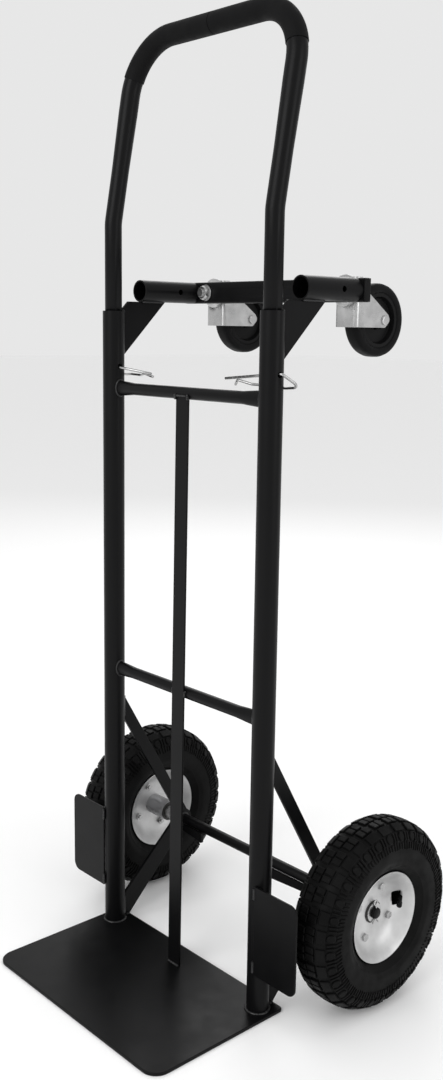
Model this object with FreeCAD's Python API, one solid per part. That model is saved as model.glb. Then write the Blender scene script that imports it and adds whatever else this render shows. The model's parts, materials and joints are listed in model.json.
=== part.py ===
import FreeCAD, Part
import math
import os

# Convertible hand truck, all sizes in millimetres, +Z up.
# The frame is symmetric about X = 0. The origin is on the floor, midway between the two rails.
# The toe plate points to -Y, the wheels and casters to +Y.

# ---- driving dimensions: frame ----
RAIL_SPACING = 331.0        # between the axes of the two rails
TUBE_OD = 31.75             # rails and handle sockets
TUBE_WALL = 2.0
RAIL_TOP = 968.0            # height of the open rail tops
PLATE_PAST_RAIL = 23.5      # side edge of the toe plate, out from the rail axis
PLATE_FRONT = 206.0         # toe plate, forward of the rail axes
PLATE_REAR = 28.0           # toe plate, behind the rail axes
PLATE_THICKNESS = 5.0
PLATE_FRONT_RADIUS = 24.0
PLATE_REAR_RADIUS = 6.0
BAR_OD = 17.2               # round crossbars
BAR_WALL = 1.8
BAR_END_THICKNESS = 12.0    # crushed bar end, front to back
BAR_END_HEIGHT = 23.5       # crushed bar end, up and down
BAR_FLARE_LENGTH = 34.0     # length of the crushed bar end
UPPER_BAR_HEIGHT = 856.5
MIDDLE_BAR_HEIGHT = 428.5
STRAP_WIDTH = 25.4
STRAP_THICKNESS = 3.0
STRAP_EMBEDDED = 1.0        # how deep the strap's front face lies in the upper crossbar

# ---- driving dimensions: wheels and axle ----
WHEEL_RADIUS = 136.7
WHEEL_OUTBOARD = 80.5       # tyre's middle plane, out from the rail axis
TYRE_BEHIND_RAILS = 5.0     # front of the tyre behind the rail axes
AXLE_RADIUS = 8.0
AXLE_PAST_WHEEL = 12.5      # axle end, out from the tyre's middle plane
TYRE_WIDTH = 76.0
TYRE_TREAD = 11.0           # rubber under the tread
TYRE_SIDE = 6.0             # rubber in the side wall
BEAD_RADIUS = 53.0          # inside of the tyre bead
BEAD_WIDTH = 9.0
FLANGE_RADIUS = 65.5        # edge of the rim
RIM_WIDTH = 54.5            # between the outer faces of the two rim flanges
RIM_SHEET = 2.0
RIM_DISC_RADIUS = 44.5      # flat middle of the rim
HUB_INNER_END = 45.5        # hub end on the frame side, from the tyre's middle plane
HUB_OUTER_END = 3.5         # hub end on the outer side, from the tyre's middle plane
HUB_RADIUS = 16.5
HUB_FLANGE = 3.0
BEARING_RADIUS = 14.0
BEARING_LENGTH = 11.0
BEARING_LIP = 1.5
BOLT_CIRCLE = 74.0
BOLT_COUNT = 4
BOLT_DIAMETER = 6.0
BOLT_ANGLES = {"left": 22.0, "right": 64.0}
VALVE_ANGLES = {"left": 67.0, "right": 9.0}
VALVE_SLOT_WIDTH = 14.4
VALVE_SLOT_HEIGHT = 24.0
VALVE_SLOT_RADIUS = 46.4    # middle of the window, from the axle
VALVE_SLOT_FROM = 1.0       # depth range that the window is cut over, out from the tyre's middle
VALVE_SLOT_TO = 18.5
COTTER_DIAMETER = 3.0
WASHER_THICKNESS = 2.0

# ---- driving dimensions: braces and guards ----
BRACE_THICKNESS = 5.0
UPPER_BRACE_WIDTH = 19.0
UPPER_BRACE_HEIGHT = 361.0  # where its middle line meets the back of the rail
UPPER_BRACE_SET_BACK = 4.5  # its middle line passes this far behind the axle's centre
EYE_RADIUS = 16.0           # lower brace around the axle
LOWER_BRACE_WIDTH = 36.0    # at its foot
STAY_INNER = {"left": 106.0, "right": 45.0}   # inner end of the flat bar under the axle, from the middle
STAY_THICKNESS = 5.0
STAY_INNER_DEPTH = 16.0
STAY_OUTER_DEPTH = 9.0
GUARD_TOP = 197.0
GUARD_BOTTOM = 66.0
GUARD_REACH = 87.0          # outer edge, from the rail axis
GUARD_INSET = 6.4           # inner edge, from the rail axis
GUARD_THICKNESS = 3.0
GUARD_RADIUS = 13.0

# ---- driving dimensions: sockets and caster bar ----
SOCKET_HEIGHT = 998.0
SOCKET_FRONT = 48.8
CASTER_BAR_FRONT = 153.0
CASTER_BAR_DEPTH = 12.7
CASTER_BAR_WALL = 2.0
GUSSET_THICKNESS = 4.0
GUSSET_LEG = 80.0
GUSSET_CHAMFER = 10.0
PIN_HEIGHT = 888.0
PIN_HOLE_RADIUS = 4.0
SOCKET_HOLE_BACK = 115.7

# ---- driving dimensions: casters ----
CASTER_SPACING = 268.0
CASTER_WHEEL_RADIUS = 51.0
CASTER_WHEEL_WIDTH = 25.0
CASTER_TRAIL = 38.7         # wheel axle below the swivel axis
CASTER_REACH = 66.0         # wheel axle behind the caster bar
STEM_RADIUS = 6.0
RACE_RADIUS = 22.0
RACE_DEPTH = 5.5
BALL_RADIUS = 2.4
BALL_CIRCLE = 15.0
BALL_COUNT = 14
FORK_SHEET = 2.8
FORK_WIDTH = 40.0
FORK_TOP = 19.0             # crown above the swivel axis
FORK_BOTTOM = 49.0          # crown below the swivel axis
CASTER_AXLE_RADIUS = 4.0
CASTER_CORE_RADIUS = 38.0

# ---- driving dimensions: handle and pins ----
LEG_CLEARANCE = 1.475       # lower handle legs, all round inside the rails
TOP_RADIUS = 13.7           # handle above the taper
HANDLE_WALL = 1.8
HANDLE_BOTTOM = 838.0
TAPER_START = 1165.0
TAPER_END = 1245.0
BEND_START = 1092.0         # legs lean back from here
LEAN = 10.0                 # degrees
HANDLE_TOP = 1343.5         # axis of the top bar
CORNER_RADIUS = 75.0
GRIP_WALL = 1.0
GRIP_TURN = 17.0            # degrees round the corner where a grip begins
GRIP_GAP = 0.4              # half the gap where the two grips meet
PIN_RADIUS = 1.9
PIN_TIP = 86.0              # tip of the straight leg, from the rail axis
PIN_LOOP = 14.0             # where the straight leg starts to bend, from the rail axis
PIN_TILT = 5.2              # degrees that the clip's tip sags in its loose hole
PIN_DROOP = {"left": 27.0, "right": 40.0}   # degrees that the clip's loop hangs below level
PIN_PUSHED_IN = {"left": 2.0, "right": 0.0}

# ---- fits ----
RUNNING = 0.05              # radial clearance of a running fit
SMALL_GAP = 0.3             # clearance between pieces that move past each other
BEND_INSIDE = 4.0           # inside radius of folded sheet

# ---- worked out ----
RAIL_X = RAIL_SPACING / 2
PLATE_WIDTH = 2 * (RAIL_X + PLATE_PAST_RAIL)
TUBE_R = TUBE_OD / 2
BAR_R = BAR_OD / 2
WHEEL_X = RAIL_X + WHEEL_OUTBOARD
AXLE_BACK = WHEEL_RADIUS + TYRE_BEHIND_RAILS
LEG_RADIUS = TUBE_R - TUBE_WALL - LEG_CLEARANCE
CASTER_X = CASTER_SPACING / 2
CASTER_BAR_BACK = CASTER_BAR_FRONT + CASTER_BAR_DEPTH
SIDES = {"left": -1, "right": 1}

AXIS_X = FreeCAD.Vector(1, 0, 0)
AXIS_Y = FreeCAD.Vector(0, 1, 0)
AXIS_Z = FreeCAD.Vector(0, 0, 1)


def vec(x, y, z):
    return FreeCAD.Vector(x, y, z)


def save(name, shape):
    solids = shape.Solids
    result = solids[0] if len(solids) == 1 else Part.makeCompound(solids)
    result.exportStep("parts/" + name + ".step")


def rod(start, end, radius):
    """Round bar between two points."""
    return Part.makeCylinder(radius, end.distanceToPoint(start), start, end - start)


def tube(start, end, outside, inside):
    return rod(start, end, outside).cut(rod(start, end, inside))


def box(low, high):
    return Part.makeBox(high.x - low.x, high.y - low.y, high.z - low.z, low)


def plate_x(outline, x_low, thickness):
    """Flat plate across X from an outline of (y, z) points."""
    points = [vec(x_low, y, z) for y, z in outline]
    face = Part.Face(Part.makePolygon(points + points[:1]))
    return face.extrude(vec(thickness, 0, 0))


def round_edges(shape, radius, wanted):
    edges = [edge for edge in shape.Edges if wanted(edge)]
    return shape.makeFillet(radius, edges)


def along(edge, axis):
    """True for a straight edge that runs along the axis."""
    if len(edge.Vertexes) != 2 or not isinstance(edge.Curve, (Part.Line, Part.LineSegment)):
        return False
    direction = edge.Vertexes[1].Point - edge.Vertexes[0].Point
    return abs(direction.normalize().dot(axis)) > 0.999


def hexagon(centre, direction, across_flats, thickness):
    """Hexagonal prism that grows from the centre along the direction."""
    axis = vec(*direction)
    side = axis.cross(AXIS_Z) if abs(axis.z) < 0.9 else axis.cross(AXIS_X)
    up = axis.cross(side)
    corner = across_flats / math.sqrt(3)
    points = []
    for step in range(6):
        angle = math.radians(60 * step + 30)
        points.append(centre + side * (corner * math.cos(angle)) + up * (corner * math.sin(angle)))
    return Part.Face(Part.makePolygon(points + points[:1])).extrude(axis * thickness)


def turned(profile, centre, axis):
    """Full turn of a closed profile of points about an axis through the centre."""
    face = Part.Face(Part.makePolygon(profile + profile[:1]))
    return face.revolve(centre, axis, 360)


def wheel_point(side, out, radius):
    """Point above the axle, a distance out from the tyre's middle plane."""
    return vec(side * (WHEEL_X + out), AXLE_BACK, WHEEL_RADIUS + radius)


def wheel_ring(side, outline):
    """Turned piece of a wheel from (out, radius) points."""
    points = [wheel_point(side, out, radius) for out, radius in outline]
    return turned(points, vec(0, AXLE_BACK, WHEEL_RADIUS), AXIS_X)


def around_axle(side, out, radius, angle):
    """Point of a wheel at an angle from +Y towards +Z."""
    turn = math.radians(angle)
    return vec(side * (WHEEL_X + out), AXLE_BACK + radius * math.cos(turn),
               WHEEL_RADIUS + radius * math.sin(turn))


# ---- frame ----

def toe_plate():
    half = PLATE_WIDTH / 2
    plate = box(vec(-half, -PLATE_FRONT, 0), vec(half, PLATE_REAR, PLATE_THICKNESS))
    plate = round_edges(plate, PLATE_FRONT_RADIUS,
                        lambda e: along(e, AXIS_Z) and e.CenterOfMass.y < 0)
    plate = round_edges(plate, PLATE_REAR_RADIUS,
                        lambda e: along(e, AXIS_Z) and e.CenterOfMass.y > PLATE_REAR - 1
                        and abs(abs(e.CenterOfMass.x) - half) < 1)
    return plate


def pin_hole(x, y, z):
    reach = vec(2 * TUBE_R, 0, 0)
    middle = vec(x, y, z)
    return rod(middle - reach, middle + reach, PIN_HOLE_RADIUS)


def rail(side):
    x = side * RAIL_X
    pipe = tube(vec(x, 0, PLATE_THICKNESS), vec(x, 0, RAIL_TOP), TUBE_R, TUBE_R - TUBE_WALL)
    return pipe.cut(pin_hole(x, 0, PIN_HEIGHT))


def ellipse_wire(x, z, half_y, half_z):
    """Upright oval across X, made of a circle that is stretched, so that all start at the same place."""
    circle = Part.makeCircle(1, vec(0, 0, 0), vec(1, 0, 0))
    stretch = FreeCAD.Matrix()
    stretch.scale(1, half_y, half_z)
    oval = circle.transformGeometry(stretch)
    oval.translate(vec(x, 0, z))
    return Part.Wire(oval.Edges)


def crossbar_skin(height, shrink):
    """Solid outline of a crossbar: round in the middle and crushed towards both ends."""
    round_end = RAIL_X - TUBE_R - BAR_FLARE_LENGTH
    knee = round_end + BAR_FLARE_LENGTH * 0.55
    radius = BAR_R - shrink
    thin = BAR_END_THICKNESS / 2 - shrink
    tall = BAR_END_HEIGHT / 2 - shrink
    skin = rod(vec(-round_end, 0, height), vec(round_end, 0, height), radius)
    for side in (-1, 1):
        wires = [ellipse_wire(side * round_end, height, radius, radius),
                 ellipse_wire(side * knee, height, (radius + thin) / 2, (radius + tall) / 2),
                 ellipse_wire(side * RAIL_X, height, thin, tall)]
        skin = skin.fuse(Part.makeLoft(wires, True))
    return skin


def crossbar(height):
    """Round tube with crushed ends, coped onto the rails."""
    solid = crossbar_skin(height, 0).cut(crossbar_skin(height, BAR_WALL))
    for side in (-1, 1):
        x = side * RAIL_X
        reach = 4 * BAR_OD
        solid = solid.cut(rod(vec(x, 0, height - reach), vec(x, 0, height + reach), TUBE_R))
    return solid


def centre_strap():
    """Flat strap that lies on the middle crossbar and ends in the front of the upper one."""
    half = STRAP_WIDTH / 2
    rest = -BAR_R - STRAP_THICKNESS
    top = -BAR_R + STRAP_EMBEDDED
    slope = (top - rest) / (UPPER_BAR_HEIGHT - MIDDLE_BAR_HEIGHT)
    foot = rest - slope * (MIDDLE_BAR_HEIGHT - PLATE_THICKNESS)
    outline = [(foot, PLATE_THICKNESS), (top, UPPER_BAR_HEIGHT),
               (top + STRAP_THICKNESS, UPPER_BAR_HEIGHT), (foot + STRAP_THICKNESS, PLATE_THICKNESS)]
    strap = plate_x(outline, -half, STRAP_WIDTH)
    return strap.cut(rod(vec(-RAIL_X, 0, UPPER_BAR_HEIGHT), vec(RAIL_X, 0, UPPER_BAR_HEIGHT), BAR_R))


def wheel_guard(side):
    """Upright plate in front of the tyre, on the front of the rail."""
    touch = math.sqrt(TUBE_R ** 2 - GUARD_INSET ** 2)
    inner = side * (RAIL_X + GUARD_INSET)
    outer = side * (RAIL_X + GUARD_REACH)
    plate = box(vec(min(inner, outer), -touch - GUARD_THICKNESS, GUARD_BOTTOM),
                vec(max(inner, outer), -touch, GUARD_TOP))
    return round_edges(plate, GUARD_RADIUS,
                       lambda e: along(e, AXIS_Y) and abs(e.CenterOfMass.x - outer) < 1)


def lower_brace_shape(side):
    """Plate from the foot of the rail up to an eye round the axle."""
    run = AXLE_BACK - TUBE_R
    rise = WHEEL_RADIUS - PLATE_THICKNESS - LOWER_BRACE_WIDTH
    length = math.hypot(run, rise)
    along_y, along_z = run / length, rise / length
    top = (AXLE_BACK - EYE_RADIUS * along_z, WHEEL_RADIUS + EYE_RADIUS * along_y)
    low = (AXLE_BACK + EYE_RADIUS * 0.6 * along_z, WHEEL_RADIUS - EYE_RADIUS * 0.6 * along_y)
    foot = PLATE_THICKNESS
    outline = [(TUBE_R, foot), (PLATE_REAR, foot), low, top, (TUBE_R, foot + LOWER_BRACE_WIDTH)]
    x_low = side * RAIL_X - BRACE_THICKNESS / 2
    plate = plate_x(outline, x_low, BRACE_THICKNESS)
    eye = rod(vec(x_low, AXLE_BACK, WHEEL_RADIUS),
              vec(x_low + BRACE_THICKNESS, AXLE_BACK, WHEEL_RADIUS), EYE_RADIUS)
    return plate.fuse(eye).removeSplitter()


def axle_cutter(radius):
    return rod(vec(-2 * WHEEL_X, AXLE_BACK, WHEEL_RADIUS), vec(2 * WHEEL_X, AXLE_BACK, WHEEL_RADIUS),
               radius)


def upper_brace(side):
    """Flat bar from the back of the rail down onto the eye of the lower brace."""
    start_y, start_z = TUBE_R, UPPER_BRACE_HEIGHT
    run = AXLE_BACK + UPPER_BRACE_SET_BACK - start_y
    rise = WHEEL_RADIUS - start_z
    length = math.hypot(run, rise)
    dir_y, dir_z = run / length, rise / length
    half = UPPER_BRACE_WIDTH / 2
    overrun = half * abs(dir_z / dir_y)

    def edge(offset, distance):
        return (start_y + dir_y * distance - dir_z * offset,
                start_z + dir_z * distance + dir_y * offset)

    outline = [edge(half, -overrun), edge(half, length), edge(-half, length), edge(-half, -overrun)]
    bar = plate_x(outline, side * RAIL_X - BRACE_THICKNESS / 2, BRACE_THICKNESS)
    keep = box(vec(side * RAIL_X - 50, TUBE_R, 0), vec(side * RAIL_X + 50, 2 * AXLE_BACK, RAIL_TOP))
    bar = bar.common(keep).cut(lower_brace_shape(side))
    return max(bar.Solids, key=lambda solid: solid.Volume)


def axle_stays():
    """Flat bars on edge, welded along the lower front of the axle beside each brace."""
    stays = []
    low_front = AXLE_RADIUS * math.sqrt(0.5)
    y = AXLE_BACK - low_front - STAY_THICKNESS
    top = WHEEL_RADIUS - low_front
    outer = RAIL_X - BRACE_THICKNESS / 2
    for side, inner in ((-1, STAY_INNER["left"]), (1, STAY_INNER["right"])):
        points = [vec(side * x, y, z) for x, z in (
            (inner, top), (outer, top), (outer, top - STAY_OUTER_DEPTH),
            (inner, top - STAY_INNER_DEPTH))]
        face = Part.Face(Part.makePolygon(points + points[:1]))
        stays.append(face.extrude(vec(0, STAY_THICKNESS, 0)).cut(axle_cutter(AXLE_RADIUS)))
    return Part.makeCompound(stays)


def axle():
    half = WHEEL_X + AXLE_PAST_WHEEL
    shaft = rod(vec(-half, AXLE_BACK, WHEEL_RADIUS), vec(half, AXLE_BACK, WHEEL_RADIUS), AXLE_RADIUS)
    ends = [e for e in shaft.Edges if isinstance(e.Curve, Part.Circle)]
    shaft = shaft.makeChamfer(1.0, ends)
    for side in (-1, 1):
        shaft = shaft.cut(cotter_rod(side, COTTER_DIAMETER / 2 + 0.1))
    return shaft


def cotter_x(side):
    return side * (WHEEL_X + HUB_OUTER_END + BEARING_LIP + SMALL_GAP + WASHER_THICKNESS
                   + COTTER_DIAMETER / 2 + SMALL_GAP)


def cotter_rod(side, radius):
    x = cotter_x(side)
    return rod(vec(x, AXLE_BACK, WHEEL_RADIUS - AXLE_RADIUS - 9),
               vec(x, AXLE_BACK, WHEEL_RADIUS + AXLE_RADIUS + 3), radius)


def cotter_pins():
    """Split pins: a ring above the axle, two legs bent apart below it."""
    pins = []
    for side in (-1, 1):
        x = cotter_x(side)
        radius = COTTER_DIAMETER / 2
        top = vec(x, AXLE_BACK, WHEEL_RADIUS + AXLE_RADIUS + 3)
        ring = Part.makeTorus(3.4, radius * 0.8, top + vec(0, 0, 4.2), AXIS_X)
        low = vec(x, AXLE_BACK, WHEEL_RADIUS - AXLE_RADIUS - 2)
        pin = rod(low, top + vec(0, 0, 1.5), radius).fuse(ring)
        for bend in (-1, 1):
            tip = low + vec(0, bend * 6, -5)
            pin = pin.fuse(rod(low + vec(0, 0, 0.5), tip, radius * 0.7))
        pins.append(pin.fuse(Part.makeSphere(radius, low)).removeSplitter())
    return Part.makeCompound(pins)


def axle_ring(side, start, end, radius):
    """Ring on the axle between two distances from the frame's middle."""
    low, high = (vec(side * x, AXLE_BACK, WHEEL_RADIUS) for x in (start, end))
    return tube(low, high, radius, AXLE_RADIUS + RUNNING)


def axle_spacers():
    end = WHEEL_X - HUB_INNER_END - BEARING_LIP - SMALL_GAP
    start = RAIL_X + BRACE_THICKNESS / 2
    return Part.makeCompound([axle_ring(side, start, end, AXLE_RADIUS + 3.5) for side in (-1, 1)])


def axle_washers():
    start = WHEEL_X + HUB_OUTER_END + BEARING_LIP + SMALL_GAP
    return Part.makeCompound([axle_ring(side, start, start + WASHER_THICKNESS, BEARING_RADIUS)
                              for side in (-1, 1)])


# ---- road wheels ----

def tyre_section(half_width, outer, inner, power, steps=9):
    """Half-round outline of a tyre, from one bead over the crown to the other."""
    points = []
    for step in range(-steps, steps + 1):
        turn = math.pi / 2 * step / steps
        out = half_width * math.copysign(abs(math.sin(turn)) ** (2 / power), turn)
        radius = inner + (outer - inner) * math.cos(turn) ** (2 / power)
        points.append((out, radius))
    return points


def bead_height():
    return FLANGE_RADIUS + 22.0


def bead_shoulder():
    return FLANGE_RADIUS - 2.0


def tyre(side):
    """Tyre as a closed turned shell, open towards the rim."""
    half = TYRE_WIDTH / 2
    outside = tyre_section(half, WHEEL_RADIUS, bead_height(), 2.9)
    inside = tyre_section(half - TYRE_SIDE, WHEEL_RADIUS - TYRE_TREAD, bead_height(), 2.5)
    bead_out = RIM_WIDTH / 2 - RIM_SHEET - SMALL_GAP
    bead_in = bead_out - BEAD_WIDTH
    low = BEAD_RADIUS + SMALL_GAP
    over = FLANGE_RADIUS + 4.0
    toe = [(bead_out, over), (bead_out, low + 6.0), (bead_out - 1.9, low + 2.0),
           (bead_out - 3.4, low)]
    outline = [(-out, radius) for out, radius in toe[::-1]] + outside + toe
    outline += [(bead_in, low), (bead_in, bead_shoulder())] + inside[::-1]
    outline += [(-bead_in, bead_shoulder()), (-bead_in, low)]
    return wheel_ring(side, outline)


def valve_ends(side):
    """Valve stem: its foot in the tube, and its outer end in front of the rim."""
    angle = VALVE_ANGLES["left" if side < 0 else "right"]
    return around_axle(side, 5.0, 62.0, angle), around_axle(side, 20.0, 40.0, angle)


def inner_tube(side):
    """Air tube with its valve stem."""
    gap = 1.0
    half = TYRE_WIDTH / 2 - TYRE_SIDE - gap
    bead_in = RIM_WIDTH / 2 - RIM_SHEET - SMALL_GAP - BEAD_WIDTH - gap
    outline = tyre_section(half, WHEEL_RADIUS - TYRE_TREAD - gap, bead_height(), 2.5)
    low = BEAD_RADIUS + 4.0
    shoulder = bead_shoulder()
    outline += [(bead_in, shoulder), (bead_in, low), (-bead_in, low), (-bead_in, shoulder)]
    wall = 2.0
    hollow = tyre_section(half - wall, WHEEL_RADIUS - TYRE_TREAD - gap - wall, bead_height(), 2.5)
    inner = bead_in - wall
    hollow += [(inner, shoulder), (inner, low + wall), (-inner, low + wall), (-inner, shoulder)]
    foot, end = valve_ends(side)
    air = wheel_ring(side, hollow)
    stem = rod(foot, end, 3.0).cut(air)
    body = wheel_ring(side, outline).cut(air)
    return body.fuse(stem).removeSplitter()


def valve_cap(side):
    foot, end = valve_ends(side)
    direction = (end - foot).normalize()
    return rod(end, end + direction * 7.0, 3.9)


def rim_half(side, face):
    """Pressed rim half: a flat disc, a dished well, a bead seat and a flange."""
    inner_face = HUB_FLANGE / 2
    sheet = RIM_SHEET
    edge = RIM_WIDTH / 2
    seat = BEAD_RADIUS
    skin = [(inner_face + sheet, HUB_RADIUS), (inner_face + sheet, RIM_DISC_RADIUS - 1.5),
            (inner_face + sheet + 5.0, RIM_DISC_RADIUS + 4.5), (edge - 8.0, seat - sheet - 0.6),
            (edge - 3.0, seat - sheet + 1.2), (edge - 0.8, seat + 3.0), (edge, seat + 7.0),
            (edge, FLANGE_RADIUS)]
    back = [(edge - sheet, FLANGE_RADIUS), (edge - sheet, seat + 6.0),
            (edge - sheet - 1.6, seat + 1.6), (edge - sheet - 3.0, seat), (edge - 8.0, seat - 0.4),
            (inner_face + sheet + 4.0, RIM_DISC_RADIUS + 6.6), (inner_face, RIM_DISC_RADIUS),
            (inner_face, HUB_RADIUS)]
    shell = wheel_ring(side, [(face * out, radius) for out, radius in skin + back])
    for bolt in range(BOLT_COUNT):
        shell = shell.cut(bolt_rod(side, bolt, -20, 20, BOLT_DIAMETER / 2 + 0.2))
    if face > 0:
        shell = shell.cut(valve_slot(side))
    return shell


def valve_slot(side):
    """Window in the outer rim half, round the valve stem."""
    x = sorted((side * (WHEEL_X + VALVE_SLOT_FROM), side * (WHEEL_X + VALVE_SLOT_TO)))
    window = box(vec(x[0], AXLE_BACK + VALVE_SLOT_RADIUS - VALVE_SLOT_WIDTH / 2,
                     WHEEL_RADIUS - VALVE_SLOT_HEIGHT / 2),
                 vec(x[1], AXLE_BACK + VALVE_SLOT_RADIUS + VALVE_SLOT_WIDTH / 2,
                     WHEEL_RADIUS + VALVE_SLOT_HEIGHT / 2))
    window = round_edges(window, 2.5, lambda e: e.BoundBox.XLength > 1)
    angle = VALVE_ANGLES["left" if side < 0 else "right"]
    window.rotate(vec(0, AXLE_BACK, WHEEL_RADIUS), vec(1, 0, 0), angle)
    return window


def bolt_rod(side, bolt, start, end, radius):
    angle = BOLT_ANGLES["left" if side < 0 else "right"] + bolt * 360.0 / BOLT_COUNT
    return rod(around_axle(side, start, BOLT_CIRCLE / 2, angle),
               around_axle(side, end, BOLT_CIRCLE / 2, angle), radius)


def rim_bolts(side):
    """Bolts with heads on the outer face, each with its nut on the inner face."""
    grip = HUB_FLANGE / 2 + RIM_SHEET
    pieces = []
    for bolt in range(BOLT_COUNT):
        angle = BOLT_ANGLES["left" if side < 0 else "right"] + bolt * 360.0 / BOLT_COUNT
        seat = around_axle(side, grip, BOLT_CIRCLE / 2, angle)
        head = hexagon(seat, (side, 0, 0), 10.0, 4.0)
        shank = bolt_rod(side, bolt, grip + 1, -grip - 7.5, BOLT_DIAMETER / 2)
        pieces.append(head.fuse(shank).removeSplitter())
        nut_seat = around_axle(side, -grip, BOLT_CIRCLE / 2, angle)
        nut = hexagon(nut_seat, (-side, 0, 0), 10.0, 5.0)
        pieces.append(nut.cut(bolt_rod(side, bolt, 0, -grip - 9, BOLT_DIAMETER / 2)))
    return Part.makeCompound(pieces)


def hub(side):
    """Hub barrel with a bolting flange, bored for a bearing at each end."""
    bore = AXLE_RADIUS + 2.0
    outline = [(-HUB_INNER_END, BEARING_RADIUS), (-HUB_INNER_END, HUB_RADIUS),
               (-HUB_FLANGE / 2, HUB_RADIUS), (-HUB_FLANGE / 2, RIM_DISC_RADIUS - 0.5),
               (HUB_FLANGE / 2, RIM_DISC_RADIUS - 0.5), (HUB_FLANGE / 2, HUB_RADIUS),
               (HUB_OUTER_END, HUB_RADIUS), (HUB_OUTER_END, BEARING_RADIUS),
               (HUB_OUTER_END - BEARING_LENGTH, BEARING_RADIUS), (HUB_OUTER_END - BEARING_LENGTH, bore),
               (BEARING_LENGTH - HUB_INNER_END, bore), (BEARING_LENGTH - HUB_INNER_END, BEARING_RADIUS)]
    body = wheel_ring(side, outline)
    for bolt in range(BOLT_COUNT):
        body = body.cut(bolt_rod(side, bolt, -20, 20, BOLT_DIAMETER / 2 + 0.2))
    return body


def wheel_bearings(side):
    """Two flanged bearings that run on the axle."""
    bore = AXLE_RADIUS + RUNNING
    rings = []
    for face, end in ((-1, HUB_INNER_END), (1, HUB_OUTER_END)):
        outline = [(end - BEARING_LENGTH + 0.5, bore), (end + BEARING_LIP, bore),
                   (end + BEARING_LIP, HUB_RADIUS - 0.6), (end, HUB_RADIUS - 0.6),
                   (end, BEARING_RADIUS), (end - BEARING_LENGTH + 0.5, BEARING_RADIUS)]
        rings.append(wheel_ring(side, [(face * out, radius) for out, radius in outline]))
    return Part.makeCompound(rings)


# ---- sockets and caster bar ----

def socket_gusset(side):
    """Triangular plate behind the rail that carries the socket."""
    top = SOCKET_HEIGHT - TUBE_R
    back = TUBE_R
    outline = [(back, top - GUSSET_CHAMFER), (back + GUSSET_CHAMFER, top), (back + GUSSET_LEG, top),
               (back, top - GUSSET_LEG)]
    return plate_x(outline, side * RAIL_X - GUSSET_THICKNESS / 2, GUSSET_THICKNESS)


def handle_socket(side):
    x = side * RAIL_X
    pipe = tube(vec(x, SOCKET_FRONT, SOCKET_HEIGHT), vec(x, CASTER_BAR_FRONT, SOCKET_HEIGHT),
                TUBE_R, TUBE_R - TUBE_WALL)
    return pipe.cut(pin_hole(x, SOCKET_HOLE_BACK, SOCKET_HEIGHT))


def caster_bar():
    """Rectangular tube across the back of the two sockets."""
    end = RAIL_X + TUBE_R
    low = vec(-end, CASTER_BAR_FRONT, SOCKET_HEIGHT - TUBE_R)
    high = vec(end, CASTER_BAR_BACK, SOCKET_HEIGHT + TUBE_R)
    wall = vec(0, CASTER_BAR_WALL, CASTER_BAR_WALL)
    bar = round_edges(box(low, high), 2.5, lambda e: along(e, AXIS_X))
    bar = bar.cut(box(low + wall, high - wall))
    for side in (-1, 1):
        bar = bar.cut(stem_rod(side, CASTER_BAR_FRONT - 5, CASTER_BAR_BACK + 5, STEM_RADIUS + 0.2))
    return bar


def caster_bar_caps():
    """Plugs in the open ends of the caster bar, slightly domed."""
    caps = []
    for side in (-1, 1):
        end = side * (RAIL_X + TUBE_R)
        inner = CASTER_BAR_WALL + 0.1
        tail = box(vec(min(end, end - side * 12), CASTER_BAR_FRONT + inner,
                       SOCKET_HEIGHT - TUBE_R + inner),
                   vec(max(end, end - side * 12), CASTER_BAR_BACK - inner,
                       SOCKET_HEIGHT + TUBE_R - inner))
        head = box(vec(min(end, end + side * 3), CASTER_BAR_FRONT + 0.3,
                       SOCKET_HEIGHT - TUBE_R + 0.3),
                   vec(max(end, end + side * 3), CASTER_BAR_BACK - 0.3,
                       SOCKET_HEIGHT + TUBE_R - 0.3))
        head = round_edges(head, 2.4, lambda e: abs(e.CenterOfMass.x - end) > 2)
        caps.append(tail.fuse(head).removeSplitter())
    return Part.makeCompound(caps)


# ---- casters ----

def stem_point(side, y, x_off=0.0, z_off=0.0):
    return vec(side * CASTER_X + x_off, y, SOCKET_HEIGHT + z_off)


def stem_rod(side, start, end, radius):
    return rod(stem_point(side, start), stem_point(side, end), radius)


CROWN_FRONT = CASTER_BAR_BACK + RACE_DEPTH
CROWN_BACK = CROWN_FRONT + FORK_SHEET
STEM_NUT_DEPTH = 8.0
STEM_WASHER_RADIUS = 12.0


def caster_stem(side):
    """Swivel stem: threaded through the bar, with a round head inside the crown."""
    front = CASTER_BAR_FRONT - WASHER_THICKNESS - STEM_NUT_DEPTH - 3.0
    shank = stem_rod(side, front, CROWN_BACK + 1.0, STEM_RADIUS)
    head = stem_rod(side, CROWN_BACK + SMALL_GAP, CROWN_BACK + 3.0, STEM_RADIUS + 3.0)
    return shank.fuse(head).removeSplitter()


def stem_washers():
    front = CASTER_BAR_FRONT - WASHER_THICKNESS
    return Part.makeCompound([tube(stem_point(side, front), stem_point(side, CASTER_BAR_FRONT),
                                   STEM_WASHER_RADIUS, STEM_RADIUS + 0.2) for side in (-1, 1)])


def stem_nuts():
    nuts = []
    for side in (-1, 1):
        seat = stem_point(side, CASTER_BAR_FRONT - WASHER_THICKNESS)
        nut = hexagon(seat, (0, -1, 0), 18.0, STEM_NUT_DEPTH)
        cone = Part.makeCone(9.2, 14.0, 10.0, seat + vec(0, -STEM_NUT_DEPTH - 0.2, 0), AXIS_Y)
        nut = nut.common(cone)
        nuts.append(nut.cut(stem_rod(side, CASTER_BAR_FRONT - 30, CASTER_BAR_FRONT, STEM_RADIUS)))
    return Part.makeCompound(nuts)


def stem_ring(side, outline):
    """Turned piece about the stem from (y, radius) points."""
    points = [stem_point(side, y, 0, radius) for y, radius in outline]
    return turned(points, stem_point(side, 0), AXIS_Y)


def ball_y():
    """Middle plane of the ring of balls, partly sunk in the crown."""
    return CROWN_FRONT - BALL_RADIUS + 0.3


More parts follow.
